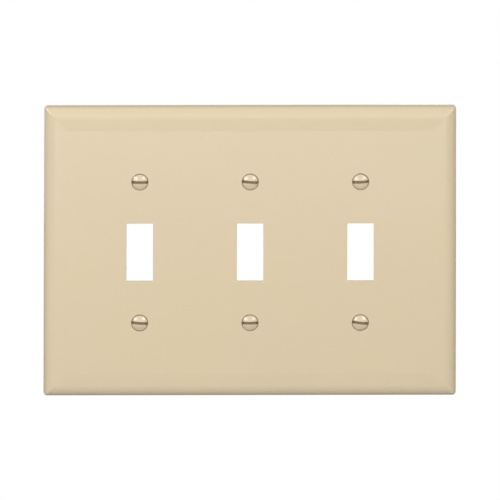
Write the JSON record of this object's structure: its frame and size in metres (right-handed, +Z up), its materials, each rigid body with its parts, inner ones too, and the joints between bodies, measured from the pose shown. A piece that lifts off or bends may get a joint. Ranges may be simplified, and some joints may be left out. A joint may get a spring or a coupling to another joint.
{
  "type": "toggle switch wall plate",
  "caption": "Ivory moulded wall plate with a row of toggle switch openings, rolled and mitred edges, a hollow ribbed back, and colour-matched slotted oval-head screws that turn.",
  "frame": {"origin": "centre of the plate's outline, in the plane of the wall that its rim touches; it lies in the middle opening", "axes": "+X to the right along the row of openings, +Y into the wall, +Z up; the face looks to -Y"},
  "size_m": [0.172, 0.0137, 0.124],
  "materials": {
    "ivory_plastic": "gloss",
    "ivory_enamel": "gloss"
  },
  "bodies": {
    "plate": {"wall_plate": "ivory_plastic"},
    "screw_top_left": {"screw_top_left": "ivory_enamel"},
    "screw_top_middle": {"screw_top_middle": "ivory_enamel"},
    "screw_top_right": {"screw_top_right": "ivory_enamel"},
    "screw_bottom_left": {"screw_bottom_left": "ivory_enamel"},
    "screw_bottom_middle": {"screw_bottom_middle": "ivory_enamel"},
    "screw_bottom_right": {"screw_bottom_right": "ivory_enamel"}
  },
  "joints": [
    {"name": "screw_top_left_turn", "type": "hinge", "parent": "plate", "child": "screw_top_left", "pos_m": [-0.04604, 0, 0.03017], "axis": [0, 1, 0], "continuous": true},
    {"name": "screw_top_middle_turn", "type": "hinge", "parent": "plate", "child": "screw_top_middle", "pos_m": [0, 0, 0.03017], "axis": [0, 1, 0], "continuous": true},
    {"name": "screw_top_right_turn", "type": "hinge", "parent": "plate", "child": "screw_top_right", "pos_m": [0.04604, 0, 0.03017], "axis": [0, 1, 0], "continuous": true},
    {"name": "screw_bottom_left_turn", "type": "hinge", "parent": "plate", "child": "screw_bottom_left", "pos_m": [-0.04604, 0, -0.03017], "axis": [0, 1, 0], "continuous": true},
    {"name": "screw_bottom_middle_turn", "type": "hinge", "parent": "plate", "child": "screw_bottom_middle", "pos_m": [0, 0, -0.03017], "axis": [0, 1, 0], "continuous": true},
    {"name": "screw_bottom_right_turn", "type": "hinge", "parent": "plate", "child": "screw_bottom_right", "pos_m": [0.04604, 0, -0.03017], "axis": [0, 1, 0], "continuous": true}
  ]
}
